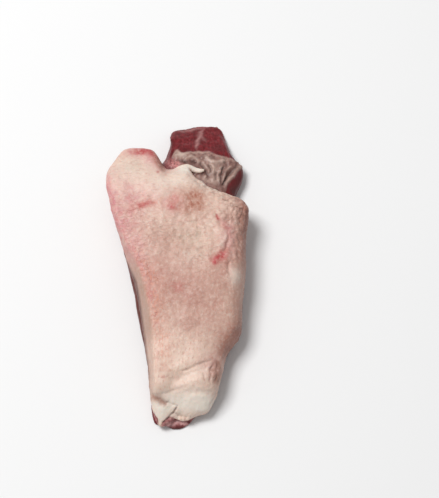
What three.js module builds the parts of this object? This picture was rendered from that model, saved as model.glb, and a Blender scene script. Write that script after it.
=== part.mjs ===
// A skinless pork jowl, lying with its fat side up.
// A thick slab of fat, from which the skin has been cut, is grown onto a layer of lean. The lean runs
// under the whole slab, comes out past the slab's far end, where it is cut on a slant, and shows again
// in a notch at the near end. Millimetres, +Z up. The near end is at -Y, and the origin is on the
// surface that the piece lies on, under the middle of its box.
import * as THREE from "three";
import { ImprovedNoise } from "three/addons/math/ImprovedNoise.js";
import { mergeVertices } from "three/addons/utils/BufferGeometryUtils.js";

// Driving dimensions
const FAT_TOP = 42; // height of the slab's crown
const SEAM_FAR = 21; // height of the seam between fat and lean, at the far end
const SEAM_NEAR = 4; // and at the near end
const SEAM_GAP = 0.4; // the two layers are modelled this far apart
const SEAM_DROP = 4; // the fat hangs this much lower along the right edge
const RIGHT_DROP_FROM = 25; // and starts to do so this far right of the middle
const RIGHT_DROP_TO = 60;
const BEVEL_FOOT = 4; // the knife cut down the left side ends this far above the seam
const BEVEL_SOFT = 1.6; // how soft the edge between that cut and the outer face is
const BEVEL_LEAST = 1; // how far in it starts where it has run out
const UNDERCUT = 7; // in the far half the slab's left side leans in by this much towards its foot
const UNDERCUT_FROM = -5; // and starts to do so this far along
const UNDERCUT_FULL = 40;
const UNDERCUT_POWER = 6; // the higher, the nearer to that side the foot is drawn in
const LOBE_FROM = 80; // a lobe of the slab slopes down over the membrane from here on
const LOBE_FALL = 0.95; // and falls this much for each unit of its length
const LOBE_LEFT = -20; // the slope sets in to the right of this place
const LOBE_FULL = -9; // and is full from here on
const LEAN_FOOT = 3; // depth of the lean's rounded underside that is pressed flat
const CUT_EDGE = 145; // how far out the slanted cut across the lean's far end reaches its foot
const CUT_RUN = 36; // how far it reaches in from there
const CUT_FOOT = 3; // height of the lean at the foot of that cut
const CUT_SKEW = 0.12; // the cut runs nearer towards the right, by this much for each unit of width
const UNEVEN = 1.1; // how far the surfaces wander from their smooth form
const UNEVEN_SPAN = 34; // and over what distance
const UNEVEN_FINER = 2.3; // a second unevenness is this many times finer than the first
const UNEVEN_LESS = 0.5; // and this share as deep
const BARE_RUN = 12; // the folds of the membrane fade in over this distance from the slab's far end
const CORNER_POWER = 9; // the higher, the squarer a layer's corners are in plan

// Where the edges run in plan. Sides give x at y. Ends give y at a share of the width, from -1 to 1.
const FAT_EDGES = {
  left: through(
    [-143, -26],
    [-105, -26],
    [-56, -32],
    [-10, -41],
    [34, -58.5],
    [56, -64.5],
    [80, -70],
    [102, -67],
  ),
  right: through(
    [-120, 35],
    [-96, 38],
    [-76, 43],
    [-64, 52],
    [-40, 54.5],
    [0, 58],
    [28, 58.7],
    [40, 61.5],
    [52, 65.5],
  ),
  near: through(
    [-1, -126],
    [-0.8, -138],
    [-0.58, -142],
    [-0.13, -131],
    [0.1, -135],
    [0.4, -132],
    [0.7, -129],
    [1, -115],
  ),
  far: through(
    [-1, 92],
    [-0.9, 100],
    [-0.78, 108],
    [-0.42, 109],
    [-0.34, 107],
    [-0.24, 97],
    [-0.17, 90],
    [-0.08, 91],
    [0.04, 97],
    [0.12, 97],
    [0.2, 84],
    [0.3, 76],
    [0.7, 64],
    [0.86, 62],
    [1, 55],
  ),
};
const LEAN_EDGES = {
  left: through(
    [-140, -28],
    [-122, -26],
    [-100, -25.5],
    [-75, -29],
    [-56, -33],
    [-8, -42.5],
    [38, -54.5],
    [80, -61],
    [100, -59],
  ),
  right: through(
    [-125, 30],
    [-96, 34],
    [-60, 48],
    [-20, 54],
    [30, 54],
    [66, 48],
    [76, 51],
    [88, 58],
    [98, 61],
  ),
  near: through([-1, -122], [-0.8, -137], [-0.5, -138], [-0.2, -142], [0.1, -141], [0.5, -129], [1, -106]),
  far: through(
    [-1, 84],
    [-0.85, 97],
    [-0.6, 103],
    [-0.32, 101],
    [-0.22, 108],
    [-0.12, 136],
    [0.02, 141],
    [0.54, 146],
    [0.63, 141],
    [0.71, 116],
    [0.92, 106],
    [1, 98],
  ),
};

// How high the crown of the fat and the seam below it are along the length
const fatCrown = through(
  [-145, 0.18 * FAT_TOP],
  [-131, 0.42 * FAT_TOP],
  [-117, 0.67 * FAT_TOP],
  [-90, 0.8 * FAT_TOP],
  [-45, 0.94 * FAT_TOP],
  [20, FAT_TOP],
  [70, 0.98 * FAT_TOP],
  [106, 0.89 * FAT_TOP],
);
const seamRise = through([-145, SEAM_NEAR], [-90, 10], [0, 14], [80, SEAM_FAR], [120, SEAM_FAR]);
// How far in from the left edge the knife cut down that side starts
const bevelRun = through([-135, 5], [-110, 6], [-40, 7], [0, 4.5], [45, BEVEL_LEAST], [100, BEVEL_LEAST]);

// Creases where the slab folds over towards its near end, each a valley between two points in plan
const FAT_CREASES = [
  { from: [-4, -107], to: [30, -94], width: 5.5, depth: 4 },
  { from: [-24, -124], to: [12, -116], width: 5, depth: 3 },
];
// Broad swellings of the outer face, and hollows where depth is below zero
const FAT_SWELLINGS = [
  { at: [16, -106], radius: 11, depth: 2.5 },
  { at: [44, 4], radius: 20, depth: 1.6 },
  { at: [8, 20], radius: 22, depth: -2 },
  { at: [-20, 72], radius: 26, depth: 1.4 },
  { at: [36, -78], radius: 14, depth: -2.5 },
];
// Folds of the membrane that covers the lean past the slab's far end
const MEMBRANE_FOLDS = [
  { from: [2, 96], to: [30, 84], width: 3.5, depth: 2 },
  { from: [14, 104], to: [44, 78], width: 3.5, depth: 2.2 },
  { from: [34, 104], to: [48, 80], width: 3.5, depth: 2 },
];

const noise = new ImprovedNoise();

// A smooth curve through [position, value] pairs, level beyond its ends.
function through(...pairs) {
  const curve = new THREE.CubicInterpolant(
    pairs.map(([position]) => position),
    pairs.map(([, value]) => value),
    1,
  );
  return (position) => curve.evaluate(position)[0];
}

// How far a surface wanders up or down at a point, the same on every run.
function unevenness(x, y, layer) {
  const broad = noise.noise(x / UNEVEN_SPAN, y / UNEVEN_SPAN, layer);
  const finer = UNEVEN_SPAN / UNEVEN_FINER;
  const fine = noise.noise(x / finer, y / finer, layer + 0.5);
  return UNEVEN * (broad + UNEVEN_LESS * fine);
}

// Depth of a set of valleys at a point, each fading out past its two ends.
function valleys(lines, x, y) {
  let depth = 0;
  for (const { from, to, width, depth: most } of lines) {
    const line = new THREE.Vector2(to[0] - from[0], to[1] - from[1]);
    const point = new THREE.Vector2(x - from[0], y - from[1]);
    const along = THREE.MathUtils.clamp(point.dot(line) / line.lengthSq(), 0, 1);
    const away = point.addScaledVector(line, -along).length();
    depth += most * Math.exp(-((away / width) ** 2));
  }
  return depth;
}

// Height of a set of round swellings at a point.
function swell(spots, x, y) {
  return spots.reduce((height, { at, radius, depth }) => {
    const away = Math.hypot(x - at[0], y - at[1]);
    return height + depth * Math.exp(-((away / radius) ** 2));
  }, 0);
}

// The lower of two heights, with the edge where they cross worn round.
function softLower(one, other, soft) {
  const low = Math.min(one, other);
  return low - soft * Math.log(1 + Math.exp(-Math.abs(one - other) / soft));
}

// Height of the seam between fat and lean.
function seam(x, y) {
  return seamRise(y) - SEAM_DROP * THREE.MathUtils.smoothstep(x, RIGHT_DROP_FROM, RIGHT_DROP_TO);
}

function fatLower(x, y) {
  return seam(x, y) + SEAM_GAP / 2;
}

// The outer face of the fat, cut away on a slant down the left side.
function fatUpper(x, y) {
  const relief = swell(FAT_SWELLINGS, x, y) - valleys(FAT_CREASES, x, y);
  const lobe = LOBE_FALL * Math.max(y - LOBE_FROM, 0) * THREE.MathUtils.smoothstep(x, LOBE_LEFT, LOBE_FULL);
  const foot = fatLower(x, y) + BEVEL_FOOT;
  const face = Math.max(fatCrown(y) + relief + unevenness(x, y, 0) - lobe, foot);
  const run = Math.max(bevelRun(y), BEVEL_LEAST);
  const cut = foot + ((face - foot) * (x - FAT_EDGES.left(y))) / run;
  return softLower(face, cut, BEVEL_SOFT);
}

// How far the left side of the fat leans in at its foot.
function fatUndercut(y) {
  return UNDERCUT * THREE.MathUtils.smoothstep(y, UNDERCUT_FROM, UNDERCUT_FULL);
}

// The lean follows the seam. Past the fat it is creased by its membrane and then cut on a slant.
function leanUpper(x, y, across) {
  const fatEnd = FAT_EDGES.far(across);
  const bare = THREE.MathUtils.smoothstep(y, fatEnd, fatEnd + BARE_RUN);
  const covered = seam(x, y) - SEAM_GAP / 2 - bare * valleys(MEMBRANE_FOLDS, x, y);
  const fromFoot = CUT_EDGE - CUT_SKEW * x - y;
  return Math.min(covered, CUT_FOOT + (fromFoot * (SEAM_FAR - CUT_FOOT)) / CUT_RUN);
}

// How square a layer's upper edge is towards the side that a point of the box lies on.
function shoulderPower({ left, right, near, far }, a, b) {
  const weights = [Math.max(-a, 0), Math.max(a, 0), Math.max(-b, 0), Math.max(b, 0)].map((w) => w ** 4);
  const total = weights.reduce((sum, w) => sum + w, 0);
  if (total === 0) return right;
  return [left, right, near, far].reduce((sum, power, i) => sum + power * weights[i], 0) / total;
}

// Lays a point of the unit box into a layer: rounds the box's edges, then spreads it between the
// layer's four edges in plan and its lower and upper surfaces. The layer is widest at its girth, a
// share of its height.
function layIn(point, { edges, shoulder, foot, girth, undercut, lower, upper, floor }) {
  const { x: a, y: b, z: c } = point;
  const reach = Math.max(Math.abs(a), Math.abs(b));
  const power = c > 0 ? shoulderPower(shoulder, a, b) : foot;
  const round = (reach ** power + Math.abs(c) ** power) ** (-1 / power);
  const spread = (Math.abs(a) ** CORNER_POWER + Math.abs(b) ** CORNER_POWER) ** (1 / CORNER_POWER);
  const corner = spread > 0 ? reach / spread : 1;
  const across = a * corner * round;
  const along = b * corner * round;
  const up = ((c * round + 1) / 2) ** (Math.log(girth) / Math.log(0.5));
  const y = THREE.MathUtils.lerp(edges.near(across), edges.far(across), (along + 1) / 2);
  const drawnIn = undercut(y) * Math.max(-across, 0) ** UNDERCUT_POWER * (1 - up);
  const x = THREE.MathUtils.lerp(edges.left(y), edges.right(y), (across + 1) / 2) + drawnIn;
  const z = THREE.MathUtils.lerp(lower(x, y), upper(x, y, across), up);
  return point.set(x, y, Math.max(z, floor));
}

// One layer of tissue as a closed mesh: a box grid laid into the layer's form.
function layer(name, form, { across, along, deep }, look) {
  const geometry = new THREE.BoxGeometry(2, 2, 2, across, along, deep);
  geometry.deleteAttribute("normal");
  geometry.deleteAttribute("uv");
  const points = geometry.getAttribute("position");
  const point = new THREE.Vector3();
  for (let i = 0; i < points.count; i++) {
    layIn(point.fromBufferAttribute(points, i), form);
    points.setXYZ(i, point.x, point.y, point.z);
  }
  const closed = mergeVertices(geometry);
  closed.computeVertexNormals();
  const mesh = new THREE.Mesh(closed, new THREE.MeshStandardMaterial(look));
  mesh.name = name;
  return mesh;
}

const fat = layer(
  "fat_slab",
  {
    edges: FAT_EDGES,
    shoulder: { left: 9, right: 3.6, near: 5, far: 7 },
    foot: 12,
    girth: 0.3,
    undercut: fatUndercut,
    lower: fatLower,
    upper: fatUpper,
    floor: 0,
  },
  { across: 30, along: 46, deep: 6 },
  { color: 0xdcbbac, roughness: 0.55, metalness: 0 },
);

const lean = layer(
  "lean_layer",
  {
    edges: LEAN_EDGES,
    shoulder: { left: 6, right: 6, near: 5, far: 8 },
    foot: 5,
    girth: 0.5,
    undercut: () => 0,
    lower: () => -LEAN_FOOT,
    upper: leanUpper,
    floor: 0,
  },
  { across: 24, along: 36, deep: 4 },
  { color: 0x7b3f40, roughness: 0.45, metalness: 0 },
);

// The piece stands on its lean with the origin under the middle of its box.
const piece = new THREE.Group().add(lean, fat);
const box = new THREE.Box3().setFromObject(piece);
const middle = box.getCenter(new THREE.Vector3());
piece.position.set(-middle.x, -middle.y, -box.min.z);

const jowl = new THREE.Group().add(piece);
export default jowl;
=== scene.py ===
"""A raw skinless pork jowl that lies fat side up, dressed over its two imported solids.

The slab of fat and the layer of lean under it are fine, even copies of their solids, with the creases,
wrinkles and grain that the solids leave out. Lengths are in millimetres until a mesh is written. A mark on
the surface is placed by the pixel of the photograph at which it shows, through the camera that is set up
first.
"""

import math

import bmesh
import bpy
import numpy as np
from mathutils import Matrix, Vector, noise
from mathutils.bvhtree import BVHTree


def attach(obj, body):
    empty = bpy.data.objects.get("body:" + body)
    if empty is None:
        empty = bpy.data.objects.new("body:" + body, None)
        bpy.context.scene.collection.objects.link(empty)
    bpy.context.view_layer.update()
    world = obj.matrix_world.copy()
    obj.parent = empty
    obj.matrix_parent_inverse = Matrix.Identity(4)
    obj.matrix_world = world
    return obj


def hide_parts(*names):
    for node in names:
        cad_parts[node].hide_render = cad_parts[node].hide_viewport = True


METRE = 1000.0  # millimetres in a metre

# The photograph, and the camera that sees the piece as it does
PHOTO_WIDTH, PHOTO_HEIGHT = 439, 498
PIXEL = 0.885  # millimetres of the piece to a pixel
ELEVATION = math.radians(68)
DISTANCE = 1600.0  # of the camera from the frame's origin, along its line of sight
ORIGIN_PIXEL = (177.23, 272.33)  # where the frame's origin shows
SENSOR = 36.0  # width of the camera's sensor

FAT_VOXEL = 0.95  # size of the faces of the two layers
LEAN_VOXEL = 0.8
SEAM_REACH = 4.0  # the lean is raised to the fat over gaps of up to this
SEAM_OVERLAP = 0.3
WOBBLE = 1.3  # how many pixels a mark strays from the place that it is given
TAPER = 0.25  # share of a line's length over which it thins out at each end
SHORT_TAPER = 0.15
SHORTEST_TAPER = 0.1
EVEN = (1, 1, 1)  # the stretch of random values that have no direction
SEED_STEP = 7.31  # how far apart the random values of two seeds are taken

# Creases of the fat, each a route of pixels with its depth and half width in millimetres
FAT_CREASES = {
    "fold": ([(178, 373), (190, 368.5), (201, 364.3), (213, 360)], 0.9, 1.4),
    "roll": ([(151, 395.5), (165.5, 394), (178, 389), (188.5, 386.4)], 0.7, 1.8),
    "pocket_fold": ([(164, 401.5), (172, 405), (177, 405.5)], 1.0, 1.0),
    "slit": ([(177, 404.5), (175.8, 409.4), (174.5, 412), (172.2, 414.3), (170, 416)], 1.7, 0.7),
    "slit_end": ([(171.5, 414.7), (168, 417.8), (164.6, 420.6), (162, 424.5)], 1.4, 0.8),
    "slit_branch": ([(174.5, 412.8), (178.5, 415.6), (182.5, 417)], 0.6, 0.7),
    "flap_side": ([(150, 409.5), (154, 415.8), (157.2, 420), (158.7, 425)], 1.2, 0.8),
    "lip_pleat": ([(178.7, 413.5), (178, 416.5), (177, 420)], 0.9, 0.6),
    "second_lip_pleat": ([(182.5, 415), (181.7, 418), (182.3, 421.5)], 0.9, 0.6),
    "third_lip_pleat": ([(187, 415.5), (185.6, 418.5), (186, 421.5)], 0.7, 0.6),
    "end_fold": ([(194, 391), (203, 393.5), (216, 392)], 0.6, 2.0),
    "corner_wrinkle": ([(213, 360.5), (210.7, 367), (211.3, 375), (209.5, 379), (211, 386)], 1.1, 0.9),
    "side_wrinkle": ([(217.5, 360), (216.4, 367), (218, 373), (215.5, 382)], 0.8, 0.9),
    "short_wrinkle": ([(202.4, 371.5), (203, 375), (204.6, 381.5)], 0.6, 0.7),
    "vein": ([(227.5, 232), (228.2, 240), (226, 248), (222, 253)], 1.1, 1.3),
    "fold_by_vein": ([(230.5, 231), (234, 240), (238, 251), (240, 262)], 0.7, 1.2),
    "second_by_vein": ([(229, 246), (232, 254), (234.5, 264)], 0.6, 1.1),
    "third_by_vein": ([(235, 229), (239, 237), (242.5, 247)], 0.5, 1.1),
    "fold_over_vein": ([(221, 216), (227, 222), (233, 226)], 0.6, 1.1),
    "upper_vein": ([(216.5, 215.5), (219, 219), (224, 225), (227.5, 232)], 0.4, 0.9),
    "waist": ([(243, 324), (237, 331), (230, 342)], 0.8, 2.2),
    "knuckle": ([(230.5, 260), (229, 267), (229.5, 276)], 1.2, 1.5),
}
# Raised edges of the fat, in the same way
FAT_RIDGES = {
    "corner": ([(213, 362), (209, 367), (206, 372)], 0.6, 1.4),
    "crescent": ([(225.5, 232), (225, 239), (220, 244.5), (212, 248)], 0.9, 1.9),
    "worm": ([(196, 255.5), (202, 254.2), (208, 255.8)], 0.5, 0.9),
    "second_worm": ([(194, 261), (200, 262), (206, 260)], 0.4, 0.9),
    "far_edge": ([(197, 179.5), (206, 182.5), (215, 186)], 1.5, 2.4),
    "flap_edge": ([(179, 410), (177, 414), (185, 420), (193, 417)], 0.5, 1.2),
}
# Hollows and bumps of the fat, each an oval: centre and radii in pixels, turn in degrees, height in mm
FAT_BUMPS = [
    ((159, 399.5), (8, 3), 25, -2.0),  # pocket over the left flap
    ((236.5, 276), (6, 8), 0, 1.3),  # knuckle on the right edge
]
# Creases with painted shade inside: their names, half width in millimetres, strength
CRACK_SHADES = (("slit", "slit_end", "flap_side"), 0.7, 0.55)
GAP_SHADES = (("vein", "corner_wrinkle", "side_wrinkle", "short_wrinkle"), 0.9, 0.5)
# Relief of the fat: height and span in millimetres, seed of its random values, and how these are stretched
FAT_RELIEF = {
    "swell": (0.6, 32, 1),
    "ripple": (0.3, 11, 2),
    "dimples": (0.12, 4.5, 3),
    "knife_lines": (0.16, 1.4, 4, (14, 1, 1)),
    "grain_across": (0.32, 2.6, 5, (2.0, 1, 1)),
    "grain_along": (0.22, 2.6, 10, (1, 1.8, 1)),
    "cobbles": (0.9, 6, 12),
    "lumps": (1.3, 5.5, 17),
    "crackle": (0.5, 2.0, 9, (1, 3, 2)),
    "sides": (0.45, 5, 7),
}
CLEFT_DEPTH = 1.1  # of the crevices between the cobbles
UNDERSIDE_SINKS = 0.5  # how far the underside of the fat is pushed down into the lean
# Ovals in which the fat has a relief or a colour of its own; in PALE_SIDE its right side has less painted
# shade
KNIFE_LINES = ((160, 176), (40, 9), 0)
COBBLES = [
    ((240, 212), (12, 20), 0, 1.0),
    ((222, 194), (20, 6), 28, 0.9),
    ((203, 185), (14, 4), 20, 0.25),
    ((222, 212), (10, 10), 0, 0.3),
    ((235, 242), (9, 14), 0, 0.3),
]
CRACKLE = ((216.5, 372), (7, 13), 0)
LUMPS = ((198, 235), (50, 36), 0)
PALE_SIDE = ((243, 292), (14, 36), 0)
# Rows of pixels between which the grain of the outer face turns from across to along the piece
GRAIN_TURNS = (242, 282)
WRINKLES_START = (180, 200)  # rows of pixels between which its fine wrinkles come up
WRINKLES_END = (330, 360)  # and die away
RIGHT_PALES = (345, 370)  # rows of pixels between which the painted shade of the right side fades
# The foot of the knife cut down the left side, and how far in from it the bare cut shows
BEVEL = [(121, 247), (127, 262), (131, 275), (137, 300), (142, 325), (146, 350), (149, 375), (150, 396)]
BEVEL_WIDTH = [(262, 9.0), (320, 9.0), (350, 6.0), (375, 4.0), (396, 3.0)]  # millimetres by row of pixels
BEVEL_PALES = (325, 350)  # rows of pixels between which it turns paler
# How wide the brown line of painted shade at that foot is, in pixels by row of pixels
RIM_SHADE_WIDTH = [
    (240, -6), (258, 0.5), (274, 3.2), (288, 4.2), (300, 3.5),
    (325, 1.9), (345, 1.2), (375, 0.6), (396, 0), (404, -6),
]
RIM_SHADE_STARTS = (-4, 3)  # widths between which it comes up
RIM_SHADE_WOBBLE = 0.6  # how many pixels its edge strays

# Where the fat's colours lie, each an oval: centre and radii in pixels, turn in degrees, strength
PINK_FIELDS = [
    ((118, 212), (20, 42), -14, 0.6),
    ((108, 202), (6, 40), -10, 0.7),
    ((133, 255), (18, 26), -22, 0.5),
    ((143, 197), (26, 16), -8, 0.4),
    ((176, 203), (10, 10), 0, 0.6),
    ((151, 157), (9, 9), 30, 0.8),
    ((136, 151), (16, 5), 0, 0.6),
    ((164, 168), (10, 5), 0, 0.5),
    ((229, 238), (8, 15), -10, 0.6),
    ((214, 366), (16, 12), 0, 0.25),
]
STIPPLE_FIELDS = [
    ((154, 300), (9, 44), -8, 0.9),
    ((140, 262), (10, 22), -25, 0.5),
    ((163, 352), (10, 22), 0, 0.4),
    ((159, 337), (9, 15), 0, 0.35),
    ((146, 204), (15, 4), -12, 0.8),
    ((174, 202), (9, 9), 0, 0.5),
]
WRINKLE_FIELDS = [
    ((122, 214), (22, 38), -12, 0.7),
    ((140, 262), (14, 24), -22, 0.4),
    ((190, 226), (40, 16), 0, 0.25),
    ((202, 256), (14, 8), 0, 0.25),
]
FLECK_FIELDS = [
    ((131, 255), (12, 30), -22, 0.6),
    ((152, 310), (9, 36), -8, 0.6),
    ((118, 215), (12, 34), -12, 0.3),
    ((176, 286), (12, 8), 0, 0.5),
]
# Dusky pink-brown of the middle, and painted shade on the far right edge, at the waist and above the roll
# crease
DUSK_AND_SHADE_FIELDS = [
    ((166, 286), (46, 32), -5, 0.8),
    ((208, 304), (38, 34), 0, 0.55),
    ((230, 246), (20, 44), 0, 0.55),
    ((172, 238), (22, 28), 0, 0.55),
    ((236, 208), (12, 18), 0, 0.25),
    ((247, 214), (6, 20), 0, 0.8),
    ((243, 202), (8, 5), 35, 0.7),
    ((220, 265), (10, 12), 0, 0.4),
    ((150, 296), (7, 24), -10, 0.3),
    ((192, 325), (34, 10), 0, 0.35),
    ((236, 334), (9, 10), -30, 0.9),
    ((223, 346), (8, 14), -15, 0.8),
    ((210, 362), (9, 14), 0, 0.3),
    ((216.5, 371), (5.5, 13), 0, 0.7),
    ((170, 389), (14, 5), -12, 0.4),
]
# Greyer places; in the dips at the centre and above the roll crease this is painted shade
GREY_AND_SHADE_FIELDS = [
    ((188, 236), (16, 10), 0, 0.5),
    ((161, 389), (12, 4.5), -12, 0.6),
    ((200, 250), (14, 8), 0, 0.2),
    ((132, 168), (28, 11), -3, 0.5),
]
# White fat of the near end, the flap and the finger, and painted highlights on the knuckle, the far edge,
# the facet under the fold and a band over the far half
WHITE_AND_HIGHLIGHT_FIELDS = [
    ((184, 402), (30, 12), 0, 1.0),
    ((205, 404), (13, 10), 0, 0.8),
    ((197, 374.5), (17, 6.5), -18, 0.3),
    ((236, 276), (6, 9), 0, 0.8),
    ((164, 192), (9, 6), 0, 0.3),
    ((158, 412), (10, 11), 0, 0.9),
    ((184, 169.5), (9, 4), 12, 0.9),
    ((196, 169), (11, 4), 18, 1.0),
    ((176, 181), (28, 7), 3, 0.45),
    ((206, 186), (11, 4), 20, 0.5),
    ((132, 168), (26, 11), -3, 0.25),
    ((190, 257), (9, 7), 0, 0.2),
]
# Brown blotches, and painted shade along the far right edge and at the waist
BROWN_AND_SHADE_FIELDS = [
    ((193, 201), (13, 14), 0, 0.85),
    ((198, 200), (7, 11), 10, 0.45),
    ((188, 210), (12, 5), 0, 0.3),
    ((177, 200), (11, 12), 0, 0.3),
    ((157, 159), (11, 4), 55, 0.9),
    ((153, 414), (4, 7), 0, 0.4),
    ((248, 214), (4, 16), 0, 0.6),
    ((231, 342), (5, 9), -30, 0.6),
]
BLOOD_SPOTS = [
    ((172.5, 207.3), (5, 1.9), 5, 0.75),
    ((173, 197.5), (5.5, 2.6), 0, 0.5),
    ((215, 261), (4.2, 2.9), -15, 1.8),
    ((222, 255.5), (7, 4.2), -40, 1.2),
    ((163.7, 377), (2, 1.4), 0, 0.6),
    ((149, 287), (2.2, 5), -10, 0.35),
    ((178, 287), (4, 4), 0, 0.4),
    ((125, 251), (2.5, 6), -25, 0.4),
    ((141, 151.5), (11, 3.2), -3, 1.0),
    ((150, 154), (4, 4), 30, 0.6),
    ((156, 158), (8, 3), 55, 0.6),
    ((162, 167), (2.5, 3), 0, 0.45),
    ((158, 172), (1.3, 1.2), 0, 0.9),
    ((146, 174), (1.2, 1.0), 0, 0.5),
    ((134, 278), (1.0, 1.0), 0, 0.6),
    ((151.5, 319.5), (1.0, 1.0), 0, 0.6),
]
# Blood along a route of pixels: half width in millimetres, strength
BLOOD_LINES = [
    ([(123, 212), (132, 208.5), (141, 205), (150, 203), (159, 201)], 3.2, 0.36),
    ([(137, 206.5), (145, 204), (153, 202)], 2.2, 0.5),
    ([(216, 214.5), (217.5, 217), (219, 219.5)], 1.3, 0.8),
    ([(217, 216.5), (219, 219), (224, 225), (227.5, 232)], 1.9, 0.35),
    ([(227.5, 232), (228, 240), (225, 248)], 1.2, 0.35),
]
# The colours that lie in these fields, and how much each varies from place to place
FIELDS = {
    "pink": (PINK_FIELDS, 0.5),
    "stipple": (STIPPLE_FIELDS, 0.6),
    "dusk_and_shade": (DUSK_AND_SHADE_FIELDS, 0.15),
    "grey_and_shade": (GREY_AND_SHADE_FIELDS, 0.5),
    "white_and_highlight": (WHITE_AND_HIGHLIGHT_FIELDS, 0.0),
    "brown_and_shade": (BROWN_AND_SHADE_FIELDS, 0.5),
    "blood": (BLOOD_SPOTS, 0.5),
}
CREST_HIGHLIGHT = 0.3  # strength of the painted highlight along the crest of the crescent

# The finger of fat that lies over the membrane: pixels, with the height and radius there in millimetres
FINGER = [
    ((177.5, 170.6), 25.0, 3.4),
    ((182.5, 168.6), 24.6, 3.6),
    ((187, 166.6), 23.6, 3.0),
    ((191.5, 168.2), 22.4, 3.0),
    ((196, 170.4), 21.6, 2.8),
    ((200, 171), 21.4, 2.5),
    ((203.6, 170.2), 21.4, 1.6),
]
# The ragged lip of the right flap, in the same way
LIP = [
    ((173.6, 415.6), 10.4, 1.5),
    ((178, 417.6), 8.9, 2.1),
    ((183, 419.2), 8.0, 2.1),
    ((188, 419.3), 9.0, 1.6),
]
BEADS = 7  # balls to each leg of these two rows
BEAD_FLATNESS = 0.6  # their height as a share of their width
SHADED_FOLD = [(150, 397), (156, 398.7), (162, 401), (168, 404.5)]  # painted shade in the fold over the left flap
SHADED_FOLD_WIDTH = 3.0  # millimetres
# Lean that shows between the two flaps and at the left of them
BARED = [
    ((167.6, 421.8), (7.5, 3.4), -40),
    ((151.5, 417.5), (8.5, 4.4), 57),
]

# The membrane on the lean: its rim, and its folds and grooves in the same way as those of the fat
MEMBRANE_RIM = [
    (172, 157), (174, 152.5), (176.5, 150.5), (181, 153.7), (190, 153),
    (206, 152.5), (213, 154), (221, 157), (238, 162), (242, 165),
]
MEMBRANE_FROM = (169, 174)  # columns of pixels between which it comes up
MEMBRANE_STARTS = (-0.6, 0.8)  # pixels below its rim between which it comes up
MEMBRANE_ENDS = (1.4, 2.8)  # pixels at the right of its roll between which it ends
FAR_END = (40, 55)  # millimetres along the piece between which the far end starts
MEMBRANE_FOLDS = {
    "rim": (MEMBRANE_RIM, 0.5, 1.0),
    "roll": ([(242, 164.5), (237, 170), (232, 176), (228.5, 181), (224.5, 187)], 1.6, 2.0),
    "pleat": ([(232, 166), (227, 170), (224, 176), (222.5, 182)], 1.2, 1.2),
    "bent_pleat": ([(221, 166), (220.5, 170), (217.5, 176), (217.5, 182)], 1.0, 1.2),
    "sheet": ([(210, 164), (214.5, 169), (212, 176), (213.5, 181)], 1.0, 1.6),
    "long_pleat": ([(202, 161), (205.5, 166), (208.5, 170.5), (210.5, 176)], 1.0, 1.2),
    "arch": ([(184, 161), (187, 158.5), (192, 156.7), (198, 159), (200.5, 165)], 0.9, 1.3),
    "shelf": ([(203, 155.5), (209, 159), (213.5, 162), (221, 161.7), (230, 161)], 0.8, 1.3),
    "left_wave": ([(174, 157), (180, 154.5), (187, 155.5)], 0.7, 1.6),
    "knob": ([(203.5, 176), (205.5, 177.5)], 1.0, 1.5),
}
MEMBRANE_GROOVES = {
    "roll": ([(238, 165.5), (233.5, 170), (228, 176), (224.7, 181), (222, 186)], 1.3, 1.2),
    "pleat": ([(224.5, 166), (222.7, 170), (221, 176), (220.4, 183)], 1.2, 0.9),
    "bent_pleat": ([(218, 172), (215, 176), (215.5, 181)], 0.8, 0.9),
    "long_pleat": ([(209, 164.5), (211, 170), (208, 176)], 0.9, 0.9),
    "waves": ([(199, 161), (203, 167), (206, 172), (207, 177)], 0.8, 1.0),
    "arch": ([(189, 162.5), (193, 160.8), (196.5, 164)], 0.6, 1.8),
    "left_wave": ([(178, 159), (183, 160.5), (187, 163.5)], 0.5, 1.2),
}
# Pale streaks through the lean where it is cut: routes of pixels, half widths in millimetres, strengths
MARBLING = [
    ([(204, 128.5), (200, 134), (197.5, 141), (196.5, 151)], 1.7, 0.45),
    ([(199, 132), (202, 137), (207, 143)], 1.2, 0.2),
    ([(175, 133.5), (187, 131), (201, 128), (216, 126)], 0.9, 0.3),
]
# The sinews on its near end: routes of pixels
SINEWS = [
    [(166, 425.3), (170, 424.6), (174, 423), (177.5, 421.8)],
    [(175.5, 421.5), (180, 422.8), (183, 424.5)],
    [(183, 424), (187.5, 423)],
]
SINEW_WIDTH = 1.8  # half width and height in millimetres
SINEW_HEIGHT = 0.35
NEAR_END = (408, 418)  # rows of pixels between which its rosy near end comes up
ROSY_FROM = (158, 166)  # and columns
# Relief of the lean: height and span in millimetres, seed, stretch, and octaves of its random values
LEAN_RELIEF = {
    "swell": (0.5, 24, 11),
    "ripple": (0.25, 8, 12),
    "film": (0.7, 4, 14, EVEN, 3),
    "fine_film": (0.35, 1.9, 16),
    "fibres": (0.18, 1.8, 13, (1, 5, 1)),
}
FAR_CORNER = ((177, 137), (7, 8), 0)  # oval of the lean that is drawn out to a sharper corner
FAR_CORNER_SHIFT = (-4.0, 1.0, 0.0)  # millimetres
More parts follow.
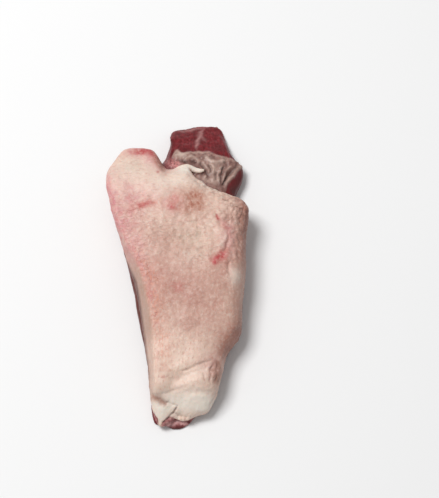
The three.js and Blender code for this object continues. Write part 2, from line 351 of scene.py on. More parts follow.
# Ovals of colour on the lean: blood in the notch beside the finger, painted shade, and pale membrane and
# painted shade on the membrane
NOTCH_BLOOD = [
    ((176.5, 164.5), (4.5, 4.5), 0, 0.95),
    ((169, 163), (5, 4.5), -20, 0.55),
]
LEAN_SHADES = [
    ((169, 163), (6, 6), -20, 0.8),  # the notch
    ((177, 428.5), (12, 2.2), 0, 1.0),  # foot of the near end
    ((171, 141), (4, 10), 10, 0.5),
    ((238, 182), (5, 13), 18, 0.8),
    ((232, 190), (6, 5), 0, 0.7),
]
PALE_FILM = [
    ((180, 155), (9, 3.5), -5, 1.0),
    ((212, 163), (14, 5), 15, 0.4),
    ((216, 169), (5, 4), 10, 0.7),
    ((205, 180), (12, 3), 18, 0.6),
    ((214, 180), (5, 4), 0, 0.6),
]
FILM_SHADE = [
    ((193, 162), (5, 3), 0, 0.5),
    ((206, 174), (4, 3), 0, 0.5),
    ((221, 182), (4, 7), 10, 0.6),
]
RIM_SHADE_RISES = (0.05, 0.35)  # shares of the knife cut's foot between which the lean there has brown painted shade
RIM_SHADE_FALLS = (0.75, 0.98)  # and loses it again
RIM_SHADE_FADE = (4, 8)  # millimetres from that foot between which the painted shade fades

# Colours of the screen, 0 to 255 each. One with the name of a mask lies where that mask is.
FAT_COLOURS = {
    "cream": (229, 203, 186),
    "deep_cream": (217, 188, 171),
    "dusk_and_shade": (178, 129, 115),
    "mottle": (198, 146, 132),
    "grey_and_shade": (188, 166, 147),
    "pink": (204, 137, 140),
    "stipple": (212, 142, 118),
    "white_and_highlight": (233, 221, 208),
    "brown_and_shade": (166, 102, 80),
    "blood": (176, 58, 60),
    "bevel": (181, 146, 129),
    "side": (186, 138, 124),
    # painted shade of the right side and, deeper, of its right edge
    "right": (158, 101, 85),
    "right_edge_shade": (118, 62, 49),
    # painted shade of the fold over the left flap, and the crackled patch's tan
    "fold_shade_and_crackle": (156, 114, 98),
    "bared": (122, 52, 56),
    "pale_bared": (178, 116, 114),
    # painted shade in the crevices and creases
    "gap": (136, 92, 80),
    "cells": (238, 218, 204),
    "across": (190, 138, 124),
    "along": (188, 132, 116),
    "wrinkled": (192, 124, 112),
    "flecked": (184, 88, 88),
    # painted shade at the foot of the knife cut
    "rim": (94, 54, 46),
    "pale_rim_shade": (124, 80, 70),
    # painted shade inside the slit and the flap's creases
    "crack_shade": (104, 56, 46),
}
LEAN_COLOURS = {
    "red": (94, 12, 18),
    "pale_red": (132, 38, 44),
    "dark_red": (78, 12, 16),
    "membrane": (112, 78, 72),
    "pale_membrane": (152, 114, 105),
    # painted shade in the membrane's grooves
    "groove_shade": (76, 50, 45),
    # painted highlight on the crests of the folds, and paler membrane
    "pale_and_highlight": (196, 170, 157),
    "silver": (150, 112, 108),
    "suet": (212, 184, 172),
    "rosy": (108, 40, 43),
    "pale_rosy": (176, 112, 110),
    "streak": (206, 156, 152),
    "sinew": (238, 186, 184),
    # painted shade
    "lean_shade": (84, 38, 37),
    # painted shade on the lean at the foot of the knife cut
    "rim": (98, 58, 50),
    "blood": (214, 140, 138),
}
# Settings of the shaders of the two layers
FAT_FINISH = {
    "Subsurface Weight": 0.15,
    "Subsurface Radius": (1.0, 0.45, 0.3),
    "Subsurface Scale": 0.002,
    "Coat Weight": 0.06,
    "Coat Roughness": 0.25,
}
LEAN_FINISH = {
    "Subsurface Weight": 0.1,
    "Subsurface Radius": (1.0, 0.3, 0.2),
    "Subsurface Scale": 0.0015,
    "Specular IOR Level": 0.3,
    "Coat Weight": 0.06,
    "Coat Roughness": 0.2,
}

# The stage, in metres and watts
FLOOR_REACH = 3.0
FLOOR_COLOUR = (0.86, 0.86, 0.86, 1)
KEY_PLACE = (-1.1, 0.6, 2.6)
KEY_SIZE = 1.2
KEY_POWER = 69
WORLD_STRENGTH = 0.37


# Camera


def camera_axes():
    """The camera's right, up and backward directions."""
    right = np.array([1.0, 0.0, 0.0])
    up = np.array([0.0, math.sin(ELEVATION), math.cos(ELEVATION)])
    back = np.array([0.0, -math.cos(ELEVATION), math.sin(ELEVATION)])
    return right, up, back


def camera_place():
    """Where the camera stands, so that the frame's origin shows at its pixel."""
    right, up, back = camera_axes()
    across = (PHOTO_WIDTH / 2 - ORIGIN_PIXEL[0]) * PIXEL
    above = (ORIGIN_PIXEL[1] - PHOTO_HEIGHT / 2) * PIXEL
    return right * across + up * above + back * DISTANCE


def photo_pixels(points):
    """The photograph's pixels at which points of the piece show."""
    right, up, back = camera_axes()
    sight = points - camera_place()
    scale = DISTANCE / PIXEL / -(sight @ back)
    across = PHOTO_WIDTH / 2 + sight @ right * scale
    down = PHOTO_HEIGHT / 2 - sight @ up * scale
    return np.stack([across, down], axis=1)


def place_at(pixel, height):
    """The place at a height that shows at a pixel of the photograph."""
    right, up, back = camera_axes()
    across = (pixel[0] - PHOTO_WIDTH / 2) * PIXEL
    down = (pixel[1] - PHOTO_HEIGHT / 2) * PIXEL
    sight = across * right - down * up - DISTANCE * back
    start = camera_place()
    return start + sight * (height - start[2]) / sight[2]


def add_camera():
    data = bpy.data.cameras.new("camera")
    data.sensor_width = SENSOR
    data.lens = DISTANCE / PIXEL * SENSOR / PHOTO_HEIGHT
    camera = bpy.data.objects.new("camera", data)
    camera.location = camera_place() / METRE
    camera.rotation_euler = (math.pi / 2 - ELEVATION, 0, 0)
    bpy.context.scene.collection.objects.link(camera)
    bpy.context.scene.camera = camera


# Meshes


def smooth_step(values, low, high):
    """0 up to a low value and 1 from a high one on, with a smooth rise between them."""
    share = np.clip((values - low) / (high - low), 0, 1)
    return share * share * (3 - 2 * share)


def rounded(route, rounds=2):
    """A route with its corners cut, so that it bends smoothly."""
    route = np.array(route, float)
    for _ in range(rounds):
        starts, ends = route[:-1], route[1:]
        cut = np.stack([0.75 * starts + 0.25 * ends, 0.25 * starts + 0.75 * ends], axis=1)
        route = np.concatenate([route[:1], cut.reshape(-1, route.shape[1])[1:-1], route[-1:]])
    return route


def settle(piece):
    """Makes what a piece's modifiers do to it its own mesh."""
    bpy.context.view_layer.update()
    shaped = bpy.data.meshes.new_from_object(piece.evaluated_get(bpy.context.evaluated_depsgraph_get()))
    piece.modifiers.clear()
    piece.data = shaped


def fine_copy(node, name, voxel, bead_rows=()):
    """A smoothed copy of a solid with small, even faces, into which rows of balls run as one body."""
    piece = bpy.data.objects.new(name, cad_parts[node].data.copy())
    bpy.context.scene.collection.objects.link(piece)
    piece.data.materials.clear()
    weld = piece.modifiers.new("weld", "WELD")
    weld.merge_threshold = 0.01 / METRE
    round_off = piece.modifiers.new("round_off", "SUBSURF")
    round_off.levels = 2
    settle(piece)
    add_beads(piece.data, bead_rows)
    even = piece.modifiers.new("even", "REMESH")
    even.mode = "VOXEL"
    even.voxel_size = voxel / METRE
    even.use_smooth_shade = True
    relax = piece.modifiers.new("relax", "SMOOTH")
    relax.factor = 0.5
    relax.iterations = 5
    settle(piece)
    return piece


def bead_row(row):
    """The places and radii of a row of balls that is given by pixels and heights."""
    return [(place_at(pixel, height), radius) for pixel, height, radius in row]


def add_beads(mesh, rows):
    """Adds flat balls to a mesh along rows of places with radii, so close that they overlap."""
    shape = bmesh.new()
    shape.from_mesh(mesh)
    legs = [leg for row in rows for leg in zip(row, row[1:])]
    for (start, first), (end, last) in legs:
        for share in np.linspace(0, 1, BEADS):
            centre = Matrix.Translation(Vector(start).lerp(Vector(end), share) / METRE)
            flat = Matrix.Diagonal((1, 1, BEAD_FLATNESS, 1))
            radius = (first + (last - first) * share) / METRE
            bmesh.ops.create_icosphere(shape, subdivisions=2, radius=radius, matrix=centre @ flat)
    shape.to_mesh(mesh)
    shape.free()


class Surface:
    """The points of a piece in millimetres, with what is needed to place marks on them."""

    def __init__(self, piece):
        self.mesh = piece.data
        count = len(self.mesh.vertices)
        places = np.empty(count * 3, np.float32)
        self.mesh.vertices.foreach_get("co", places)
        self.points = places.reshape(-1, 3).astype(float) * METRE
        normals = np.empty(count * 3, np.float32)
        self.mesh.vertex_normals.foreach_get("vector", normals)
        self.normals = normals.reshape(-1, 3).astype(float)
        self.pixels = photo_pixels(self.points)
        self.marks = self.pixels + WOBBLE * np.stack([self.wander(6, 21), self.wander(6, 22)], axis=1)
        self.seen = smooth_step(self.normals @ camera_axes()[2], -0.2, 0.3)  # faces the camera
        self.upper = smooth_step(self.normals[:, 2], 0.2, 0.7)  # faces up
        self.under = smooth_step(-self.normals[:, 2], 0.5, 0.9)  # faces down
        self.sides = (1 - self.upper) * (1 - self.under)

    def wander(self, span, seed, stretch=EVEN, octaves=2):
        """Smooth random values from about -1 to 1 that change over a span."""
        places = self.points / (span * np.array(stretch)) + seed * SEED_STEP
        return np.array([noise.fractal(Vector(p), 1, 2, octaves) for p in places])

    def relief(self, kinds, where):
        """Random relief of several kinds together: each kind by its name, and where it lies."""
        return sum(
            where[name] * height * self.wander(span, seed, *shape)
            for name, (height, span, seed, *shape) in kinds.items()
        )

    def threads(self, width, span, seed, stretch=EVEN, octaves=2):
        """Winding lines where random values pass zero, soft over a width of value."""
        return np.exp(-((self.wander(span, seed, stretch, octaves) / width) ** 2))

    def crevices(self, ovals):
        """Winding clefts between lumps, in ovals: 1 at the bottom of a cleft, 0 on the lumps."""
        wide = self.threads(0.14, 8, 6, octaves=3)
        fine = self.threads(0.16, 4, 9)
        return self.spots(ovals) * np.maximum(wide, 0.45 * fine)

    def trace(self, route):
        """How far each point is from a route of pixels, and how far along it."""
        route = rounded(route)
        legs = np.diff(route, axis=0)
        lengths = np.linalg.norm(legs, axis=1)
        passed = np.concatenate([[0], np.cumsum(lengths)])
        nearest = np.full(len(self.pixels), np.inf)
        progress = np.zeros(len(self.pixels))
        for start, leg, length, before in zip(route, legs, lengths, passed):
            offset = self.marks - start
            share = np.clip(offset @ leg / length**2, 0, 1)
            away = np.linalg.norm(offset - share[:, None] * leg, axis=1)
            closer = away < nearest
            nearest[closer] = away[closer]
            progress[closer] = (before + share[closer] * length) / passed[-1]
        return nearest * PIXEL, progress

    def line(self, route, width, taper=TAPER):
        """A mark along a route of pixels, thinner at its ends, where the camera sees the surface."""
        away, progress = self.trace(route)
        fade = smooth_step(np.minimum(progress, 1 - progress), -0.02, taper)
        return np.exp(-((away / (width * (0.4 + 0.6 * fade))) ** 2)) * (0.2 + 0.8 * fade) * self.seen

    def lines(self, routes, taper=TAPER):
        """The marks along named routes, and the relief that they make together."""
        marks = [self.line(route, width, taper) for route, _, width in routes.values()]
        heights = [height for _, height, _ in routes.values()]
        return marks, sum(height * mark for height, mark in zip(heights, marks))

    def oval(self, centre, radii, turn):
        """A soft oval round a pixel, its radii in pixels and its turn in degrees."""
        offset = self.marks - np.array(centre)
        angle = math.radians(turn)
        first = offset @ np.array([math.cos(angle), math.sin(angle)]) / radii[0]
        second = offset @ np.array([-math.sin(angle), math.cos(angle)]) / radii[1]
        return np.exp(-(first**2 + second**2))

    def spot(self, centre, radii, turn):
        """A soft oval mark where the camera sees the surface."""
        return self.oval(centre, radii, turn) * self.seen

    def spots(self, ovals):
        """Soft oval marks together, each by its strength."""
        return sum(strength * self.spot(centre, radii, turn) for centre, radii, turn, strength in ovals)

    def draw_out(self, oval, shift):
        """Moves the points in an oval together, whichever way they face."""
        self.points += self.oval(*oval)[:, None] * np.array(shift)

    def push(self, height):
        """Moves the points out along their normals."""
        self.points += self.normals * height[:, None]

    def write(self):
        self.points[:, 2] = np.maximum(self.points[:, 2], 0)
        self.mesh.vertices.foreach_set("co", (self.points / METRE).astype(np.float32).ravel())
        self.mesh.update()

    def mask(self, name, values):
        """Stores where a colour lies, for the material."""
        layer = self.mesh.attributes.new(name, "FLOAT", "POINT")
        layer.data.foreach_set("value", np.clip(values, 0, 1).astype(np.float32))


# The slab of fat


def grain_along(surface):
    """How far the grain of the outer face has turned along the piece."""
    return smooth_step(surface.pixels[:, 1], *GRAIN_TURNS)


def shape_fat(surface):
    along = grain_along(surface)
    where = {
        "swell": 1,
        "ripple": 1,
        "dimples": surface.upper,
        "knife_lines": surface.spot(*KNIFE_LINES),
        "grain_across": surface.upper * (1 - along),
        "grain_along": surface.upper * along,
        "cobbles": surface.spots(COBBLES),
        "lumps": surface.spot(*LUMPS),
        "crackle": surface.spot(*CRACKLE),
        "sides": surface.sides,
    }
    _, sunk = surface.lines(FAT_CREASES)
    _, raised = surface.lines(FAT_RIDGES)
    height = surface.relief(FAT_RELIEF, where) + raised - sunk
    height += surface.spots(FAT_BUMPS)
    height -= CLEFT_DEPTH * surface.crevices(COBBLES)
    height += UNDERSIDE_SINKS * surface.under
    surface.push(height)


def mask_fields(surface, patchy):
    """Where the colours that lie in fields are, with the painted highlight and the blood that lie along
    lines.
    """
    crest, _, crest_width = FAT_RIDGES["crescent"]
    bled = [strength * surface.line(route, width, SHORT_TAPER) for route, width, strength in BLOOD_LINES]
    lines = {"white_and_highlight": CREST_HIGHLIGHT * surface.line(crest, crest_width), "blood": sum(bled)}
    for name, (ovals, unevenness) in FIELDS.items():
        amount = surface.spots(ovals) + lines.get(name, 0)
        surface.mask(name, amount * (1 + unevenness * patchy))


def mask_left_side(surface):
    """Where the knife cut down the left side and the brown line of painted shade at its foot are. Returns
    the cut.
    """
    to_left = -surface.normals[:, 0]
    above = 1 - surface.under
    away, progress = surface.trace(BEVEL)
    down = surface.marks[:, 1]
    width = np.interp(down, *np.array(BEVEL_WIDTH).T)
    cut = (1 - smooth_step(away, width - 2, width + 2)) * smooth_step(progress, 0.0, 0.25)
    cut *= smooth_step(to_left, 0.05, 0.4) * above
    surface.mask("bevel", cut * (1 - 0.5 * smooth_step(down, *BEVEL_PALES)))
    across, row = surface.pixels.T
    inward = across - np.interp(row, *np.array(BEVEL).T[::-1]) + RIM_SHADE_WOBBLE * surface.wander(14, 23)
    width = np.interp(row, *np.array(RIM_SHADE_WIDTH).T)
    rim = (1 - smooth_step(inward, width - 2, width + 1.2)) * smooth_step(width, *RIM_SHADE_STARTS)
    surface.mask("rim", rim * smooth_step(to_left, 0.0, 0.3) * above)
    return cut


def mask_sides(surface):
    """Where the sides are, and the brown painted shade of the right side, which is deepest at its edge."""
    to_right = surface.normals[:, 0]
    down = surface.marks[:, 1]
    brown_and_shade = 1 - 0.9 * smooth_step(down, *RIGHT_PALES) - 0.6 * surface.spot(*PALE_SIDE)
    surface.mask("right", smooth_step(to_right, 0.25, 0.85) * brown_and_shade)
    surface.mask("right_edge_shade", smooth_step(to_right, 0.6, 0.95) * brown_and_shade)
    surface.mask("side", surface.sides)


def crease_shade(surface, names, width, strength):
    """Thin painted shade along some of the creases."""
    return strength * sum(surface.line(FAT_CREASES[name][0], width) for name in names)


def mask_creases(surface):
    """Where creases and crevices have painted shade, the fold over the left flap has painted shade, the
    crackled patch is tan and the lean shows beside the flaps.
    """
    surface.mask("crack_shade", crease_shade(surface, *CRACK_SHADES))
    surface.mask("gap", surface.crevices(COBBLES) + crease_shade(surface, *GAP_SHADES))
    crackled = smooth_step(surface.spot(*CRACKLE), 0.3, 0.65) * (0.7 + 0.5 * surface.wander(3, 18))
    surface.mask("fold_shade_and_crackle", np.maximum(surface.line(SHADED_FOLD, SHADED_FOLD_WIDTH, SHORTEST_TAPER), crackled))
    bared = np.max([surface.oval(*oval) for oval in BARED], axis=0)
    surface.mask("bared", smooth_step(bared, 0.25, 0.5))


def mask_grain(surface, patchy, cut):
    """Where the outer face has its fine grain, which its white and highlighted places and the knife cut
    don't have.
    """
    down = surface.marks[:, 1]
    along = grain_along(surface)
    rough = (1 - np.clip(surface.spots(WHITE_AND_HIGHLIGHT_FIELDS), 0, 1)) * (1 - cut)
    surface.mask("along", along * rough)
    surface.mask("across", (1 - along) * rough)
    rows = smooth_step(down, *WRINKLES_START) * (1 - smooth_step(down, *WRINKLES_END))
    wrinkled = (0.3 + surface.spots(WRINKLE_FIELDS)) * (1 + patchy)
    surface.mask("wrinkled", rows * rough * surface.upper * wrinkled)
    surface.mask("flecked", surface.spots(FLECK_FIELDS) * (1 - cut))


def mask_fat(surface):
    patchy = surface.wander(16, 8, octaves=3)
    mask_fields(surface, patchy)
    cut = mask_left_side(surface)
    mask_sides(surface)
    mask_creases(surface)
    mask_grain(surface, patchy, cut)


# The layer of lean


def membrane_share(surface):
    """Where the membrane lies on the lean: below its rim, at the left of its roll, on the far end."""
    across, down = surface.marks.T
    below_rim = down - np.interp(across, *np.array(MEMBRANE_RIM).T)
    past_roll = across - np.interp(down, *np.array(MEMBRANE_FOLDS["roll"][0]).T[::-1])
    share = smooth_step(below_rim, *MEMBRANE_STARTS) * smooth_step(across, *MEMBRANE_FROM)
    share *= 1 - smooth_step(past_roll, *MEMBRANE_ENDS)
    return share * smooth_step(surface.points[:, 1], *FAR_END) * surface.upper * surface.seen


def shape_lean(surface):
    """Shapes the lean. Returns its membrane, folds, grooves and sinews, which have a colour as well."""
    membrane = membrane_share(surface)
    folds, raised = surface.lines(MEMBRANE_FOLDS, SHORT_TAPER)
    grooves, sunk = surface.lines(MEMBRANE_GROOVES, SHORT_TAPER)
    sinews = sum(surface.line(route, SINEW_WIDTH, SHORTEST_TAPER) for route in SINEWS)
    where = {"swell": 1, "ripple": 1, "film": membrane, "fine_film": membrane, "fibres": 1 - membrane}
    surface.push(surface.relief(LEAN_RELIEF, where) + raised - sunk + SINEW_HEIGHT * sinews)
    surface.draw_out(FAR_CORNER, FAR_CORNER_SHIFT)
    return membrane, np.max(folds, axis=0), np.max(grooves, axis=0), sinews


def mask_lean(surface, membrane, folds, grooves, sinews):
    across, down = surface.marks.T
    patchy = 1 + 0.6 * surface.wander(5, 15)
    surface.mask("membrane", membrane)
    # Painted highlight along the fold crests and paler membrane; painted shade in the grooves
    surface.mask("pale_and_highlight", (0.5 * folds + 0.6 * surface.spots(PALE_FILM) * membrane) * patchy)
    surface.mask("groove_shade", np.maximum(0.9 * grooves, surface.spots(FILM_SHADE) * (1 - folds)) * membrane)
    streaks = sum(strength * surface.line(route, width) for route, width, strength in MARBLING)
    surface.mask("streak", streaks * patchy)
    surface.mask("sinew", sinews * patchy)
    surface.mask("rosy", smooth_step(down, *NEAR_END) * smooth_step(across, *ROSY_FROM) * surface.seen)
    surface.mask("blood", surface.spots(NOTCH_BLOOD))
    # Painted shade in the notch, at the foot of the near end and on the side walls
    surface.mask("lean_shade", surface.spots(LEAN_SHADES))
    # Brown painted shade on the lean along the foot of the knife cut
    away, progress = surface.trace(BEVEL)
    shaded_rim = smooth_step(progress, *RIM_SHADE_RISES) * (1 - smooth_step(progress, *RIM_SHADE_FALLS))
    surface.mask("rim", (1 - smooth_step(away, *RIM_SHADE_FADE)) * shaded_rim * (1 - surface.under))
    mask_underside(surface)


def mask_underside(surface):
    """Where the underside, which the photograph doesn't show, has suet and silvery film."""
    lumps = smooth_step(surface.wander(24, 31, stretch=(1, 1.8, 1), octaves=5), 0.1, 0.6)
    threads = surface.threads(0.06, 16, 33, stretch=(1, 2.6, 1), octaves=3)
    threads *= smooth_step(surface.wander(18, 34), -0.15, 0.35)
    surface.mask("suet", np.maximum(lumps, 0.55 * threads) * surface.under)
    film = smooth_step(surface.wander(34, 32, octaves=4), -0.1, 0.5)
    surface.mask("silver", film * surface.under)


def close_seam(surface, cover):
    """Raises the lean to the underside of the fat wherever that is close above it."""
    corners = [vertex.co * METRE for vertex in cover.data.vertices]
    tree = BVHTree.FromPolygons(corners, [face.vertices for face in cover.data.polygons])
    gaps = np.full(len(surface.points), np.inf)
    for i in np.flatnonzero(surface.normals[:, 2] > 0.05):
        gap = tree.ray_cast(Vector(surface.points[i]), Vector((0, 0, 1)), SEAM_REACH)[3]
        if gap is not None:
            gaps[i] = gap
    near = 1 - smooth_step(np.minimum(gaps, SEAM_REACH), SEAM_REACH / 3, SEAM_REACH)
    surface.points[:, 2] += np.where(near > 0, np.minimum(gaps, SEAM_REACH) + SEAM_OVERLAP, 0) * near


# Materials


def linear_colour(red, green, blue):
    """A colour of the screen as the linear colour that a shader takes."""
    shares = np.array([red, green, blue]) / 255
    linear = np.where(shares < 0.04045, shares / 12.92, ((shares + 0.055) / 1.055) ** 2.4)
    return (*linear, 1.0)


class Paint:
    """One material, built up as layers of named colours on a shader."""

    def __init__(self, name, colours, finish):
        self.material = bpy.data.materials.new(name)
        self.material.use_nodes = True
        self.tree = self.material.node_tree
        self.shader = self.tree.nodes["Principled BSDF"]
        for socket, value in finish.items():
            self.shader.inputs[socket].default_value = value
        self.place = self.add("ShaderNodeTexCoord").outputs["Object"]
        self.colours = {key: linear_colour(*value) for key, value in colours.items()}
        self.shade = None

    def add(self, kind, **settings):
        made = self.tree.nodes.new(kind)
        for name, value in settings.items():
            setattr(made, name, value)
        return made

    def feed(self, socket, value):
        """Sets a socket to a value, or links another socket to it."""
        if isinstance(value, bpy.types.NodeSocket):
            self.tree.links.new(value, socket)
        else:
            socket.default_value = value

    def mask(self, name):
        return self.add("ShaderNodeAttribute", attribute_name=name).outputs["Fac"]

    def times(self, first, second):
        made = self.add("ShaderNodeMath", operation="MULTIPLY")
        self.feed(made.inputs[0], first)
        self.feed(made.inputs[1], second)
        return made.outputs[0]

    def spread(self, value, low, high, to_low=0.0, to_high=1.0):
        """Stretches values from low to high over another range, and cuts off the rest."""
        made = self.add("ShaderNodeMapRange")
        for socket, number in zip(made.inputs, (value, low, high, to_low, to_high)):
            self.feed(socket, number)
        return made.outputs[0]

    def spaced(self, span, stretch):
        """The place on the piece, counted in spans of millimetres."""
        made = self.add("ShaderNodeVectorMath", operation="DIVIDE")
        self.feed(made.inputs[0], self.place)
        made.inputs[1].default_value = [s * span / METRE for s in stretch]
        return made.outputs[0]

    def grain(self, span, detail, stretch=EVEN):
        """Random values from 0 to 1 that change over a span in millimetres."""
        made = self.add("ShaderNodeTexNoise")
        self.feed(made.inputs["Vector"], self.spaced(span, stretch))
        made.inputs["Scale"].default_value = 1.0
        made.inputs["Detail"].default_value = detail
        return made.outputs["Fac"]

    def patches(self, span, detail, values, shares=(0.0, 1.0), stretch=EVEN):
        """Grain between two of its values, spread over a range of shares."""
        return self.spread(self.grain(span, detail, stretch), *values, *shares)

    def threads(self, span, detail, stretch, width):
        """Thin winding lines: 1 along them, 0 at a width of random value away."""
        value = self.grain(span, detail, stretch)
        rise = self.spread(value, 0.5 - width, 0.5)
        fall = self.spread(value, 0.5, 0.5 + width, 1.0, 0.0)
        return self.times(rise, fall)

    def mix(self, under, over, share):
        """One colour over another. A mix node has its sockets for colours after those for numbers."""
        made = self.add("ShaderNodeMix", data_type="RGBA")
        self.feed(made.inputs[0], share)
        self.feed(made.inputs[6], under)
        self.feed(made.inputs[7], over)
        return made.outputs[2]

    def blend(self, first, second, share):
        """A mix of two of the named colours."""
        return self.mix(self.colours[first], self.colours[second], share)

    def cover(self, name, share, tone=None):
        """Lays a colour over those before it, or a tone that stands in for it."""
        over = self.colours[name] if tone is None else tone
        self.shade = self.mix(self.shade, over, share)

    def lay(self, name, share=1.0, tone=None):
        """Lays a colour where the mask of its name is."""
        self.cover(name, self.times(self.mask(name), share), tone)

    def bump(self, height, distance, strength, onto=None):
        """Bumps of a height of up to a distance in millimetres, on top of others if there are any."""
        made = self.add("ShaderNodeBump")
        made.inputs["Strength"].default_value = strength
        made.inputs["Distance"].default_value = distance / METRE
        self.feed(made.inputs["Height"], height)
        if onto is not None:
            self.feed(made.inputs["Normal"], onto)
        return made.outputs["Normal"]

    def finished(self, roughness, normal):
        """The material, with its colour, roughness and bumps on the shader."""
        self.feed(self.shader.inputs["Base Color"], self.shade)
        self.feed(self.shader.inputs["Roughness"], roughness)
        self.feed(self.shader.inputs["Normal"], normal)
        return self.material


def fat_material():
    paint = Paint("fat", FAT_COLOURS, FAT_FINISH)
    paint.shade = paint.blend("cream", "deep_cream", paint.patches(14, 3, (0.35, 0.7)))
    # Dusky pink-brown, partly painted shade
    paint.lay("dusk_and_shade", paint.patches(5, 4, (0.35, 0.65), (0.75, 1.05)))
    paint.cover("mottle", paint.patches(4.2, 3, (0.5, 0.7), (0.0, 0.22), stretch=(1.3, 1, 1)))
    # Grey, partly painted shade in dips and above the roll crease
    paint.lay("grey_and_shade")
    paint.lay("pink", paint.patches(4.0, 4, (0.35, 0.65), (0.6, 1.2), stretch=(1, 1.3, 1)))
    paint.lay("stipple", paint.patches(1.5, 2, (0.45, 0.65), (0.15, 0.75), stretch=(1, 2.4, 1)))
    # White fat, and painted highlights
    paint.lay("white_and_highlight")
    # Brown blotches, partly painted shade
    paint.lay("brown_and_shade", paint.patches(2.8, 4, (0.3, 0.7), (0.5, 1.1), stretch=(1, 1.6, 1)))
    paint.lay("blood", paint.patches(2.2, 4, (0.3, 0.6), (0.6, 1.0)))
    paint.lay("bevel")
    paint.lay("side", paint.patches(1.3, 3, (0.5, 0.68), (0.0, 0.55), stretch=(14, 14, 1)))
    # Painted shade on the right side, deepest at its right edge
    paint.lay("right", 0.7)
    paint.lay("right_edge_shade", 0.5)
    # Painted shade in the fold over the left flap, and the tan of the crackled patch
    paint.lay("fold_shade_and_crackle", 0.9)
    bared = paint.blend("bared", "pale_bared", paint.patches(2.4, 3, (0.35, 0.6)))
    paint.lay("bared", tone=bared)
    # Painted shade in the crevices between the cobbles and in the creases
    paint.lay("gap", 0.75)
    cells = paint.patches(2.6, 3, (0.5, 0.75))
    paint.cover("cells", paint.times(cells, paint.spread(paint.mask("side"), 0, 1, 0.3, 0.1)))
    paint.lay("across", paint.patches(1.6, 3, (0.3, 0.46), (0.5, 0.0), stretch=(2.4, 1, 1)))
    paint.lay("along", paint.patches(1.7, 3, (0.3, 0.46), (0.45, 0.0), stretch=(1, 2, 1)))
    wrinkles = paint.times(paint.threads(4.2, 3, (1.5, 1, 1), 0.1), paint.mask("wrinkled"))
    paint.cover("wrinkled", paint.times(wrinkles, 0.32))
    flecks = paint.threads(5, 2, (1, 1.3, 1), 0.05)
    paint.lay("flecked", paint.times(flecks, paint.patches(6, 2, (0.48, 0.6))))
    # Brown painted shade along the foot of the knife cut
    rim_shade = paint.blend("rim", "pale_rim_shade", paint.patches(3, 3, (0.35, 0.65), stretch=(1, 3, 1)))
    paint.lay("rim", tone=rim_shade)
    # Painted shade inside the slit and the flap's creases
    paint.lay("crack_shade")
    dimples = paint.bump(paint.grain(2.8, 3), 0.6, 0.6)
    grooves = paint.bump(paint.spread(wrinkles, 0.0, 1.0, 1.0, 0.0), 0.5, 0.8, onto=dimples)
    pores = paint.bump(paint.grain(1.2, 2), 0.25, 0.8, onto=grooves)
    return paint.finished(paint.patches(3, 3, (0.3, 0.7), (0.48, 0.64)), pores)


def lean_material():
    paint = Paint("lean", LEAN_COLOURS, LEAN_FINISH)
    fibres = paint.grain(1.7, 3, stretch=(1, 6, 1))
    paint.shade = paint.blend("red", "pale_red", paint.spread(fibres, 0.35, 0.7))
    paint.cover("dark_red", paint.patches(12, 3, (0.45, 0.7), (0.0, 0.6)))
    film = paint.blend("membrane", "pale_membrane", paint.patches(4, 4, (0.35, 0.65)))
    paint.lay("membrane", tone=film)
    # Painted shade in the membrane's grooves and between its folds
    paint.lay("groove_shade")
    # Painted highlight along the crests of the membrane's folds, and paler membrane in places
    paint.lay("pale_and_highlight")
    paint.lay("silver", paint.patches(2.2, 4, (0.36, 0.62), (0.25, 0.8), stretch=(1, 3, 1)))
    paint.lay("suet", paint.patches(3, 4, (0.36, 0.6), (0.35, 1.0), stretch=(1, 2.5, 1)))
    rosy = paint.blend("rosy", "pale_rosy", paint.patches(2.6, 4, (0.35, 0.65)))
    paint.lay("rosy", 0.9, tone=rosy)
    paint.lay("streak")
    paint.lay("sinew")
    # Painted shade in the notch, at the foot of the near end and on the side walls
    paint.lay("lean_shade")
    # Brown painted shade on the lean along the foot of the knife cut
    paint.lay("rim", 0.8)
    paint.lay("blood", paint.patches(2.0, 3, (0.35, 0.6), (0.2, 1.0)))
    return paint.finished(paint.patches(3, 3, (0.3, 0.7), (0.34, 0.5)), paint.bump(fibres, 0.4, 0.6))


def floor_material():
    material = bpy.data.materials.new("floor")
    material.use_nodes = True
    shader = material.node_tree.nodes["Principled BSDF"]
    shader.inputs["Base Color"].default_value = FLOOR_COLOUR
    shader.inputs["Roughness"].default_value = 0.9
    return material


# Stage


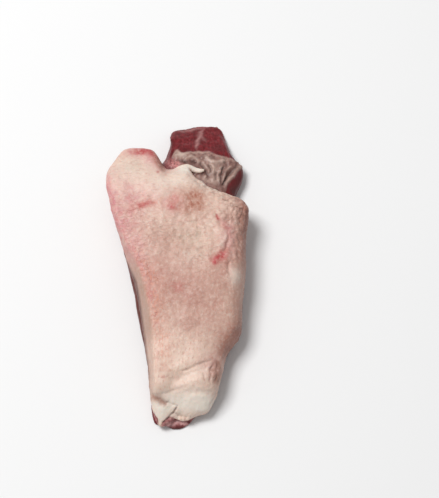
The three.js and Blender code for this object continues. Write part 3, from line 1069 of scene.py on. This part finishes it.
def add_floor():
    mesh = bpy.data.meshes.new("floor")
    corners = [(x * FLOOR_REACH, y * FLOOR_REACH, 0) for x, y in ((-1, -1), (1, -1), (1, 1), (-1, 1))]
    mesh.from_pydata(corners, [], [(0, 1, 2, 3)])
    mesh.materials.append(floor_material())
    floor = bpy.data.objects.new("floor", mesh)
    bpy.context.scene.collection.objects.link(floor)


def add_light(name, place, size, energy):
    data = bpy.data.lights.new(name, "AREA")
    data.size = size
    data.energy = energy
    light = bpy.data.objects.new(name, data)
    light.location = place
    light.rotation_euler = (-Vector(place)).to_track_quat("-Z", "Y").to_euler()
    bpy.context.scene.collection.objects.link(light)


def add_world(strength):
    world = bpy.data.worlds.new("world")
    world.use_nodes = True
    world.node_tree.nodes["Background"].inputs["Color"].default_value = (1, 1, 1, 1)
    world.node_tree.nodes["Background"].inputs["Strength"].default_value = strength
    bpy.context.scene.world = world


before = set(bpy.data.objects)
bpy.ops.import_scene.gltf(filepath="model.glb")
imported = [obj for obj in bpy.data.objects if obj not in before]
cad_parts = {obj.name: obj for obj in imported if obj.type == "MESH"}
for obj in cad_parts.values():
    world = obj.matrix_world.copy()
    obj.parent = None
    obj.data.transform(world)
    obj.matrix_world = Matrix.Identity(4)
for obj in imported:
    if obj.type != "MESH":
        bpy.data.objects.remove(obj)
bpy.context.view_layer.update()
add_camera()

fat = fine_copy("fat_slab", "fat", FAT_VOXEL, [bead_row(FINGER), bead_row(LIP)])
fat_surface = Surface(fat)
mask_fat(fat_surface)
shape_fat(fat_surface)
fat_surface.write()

lean = fine_copy("lean_layer", "lean", LEAN_VOXEL)
lean_surface = Surface(lean)
mask_lean(lean_surface, *shape_lean(lean_surface))
close_seam(lean_surface, fat)
lean_surface.write()

fat.data.materials.append(fat_material())
lean.data.materials.append(lean_material())
for piece, node, slot in ((fat, "fat_slab", "fat"), (lean, "lean_layer", "lean")):
    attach(piece, "root")
    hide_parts(node)

add_floor()
add_light("key", KEY_PLACE, KEY_SIZE, KEY_POWER)
add_world(WORLD_STRENGTH)
bpy.context.scene.view_settings.view_transform = "Standard"
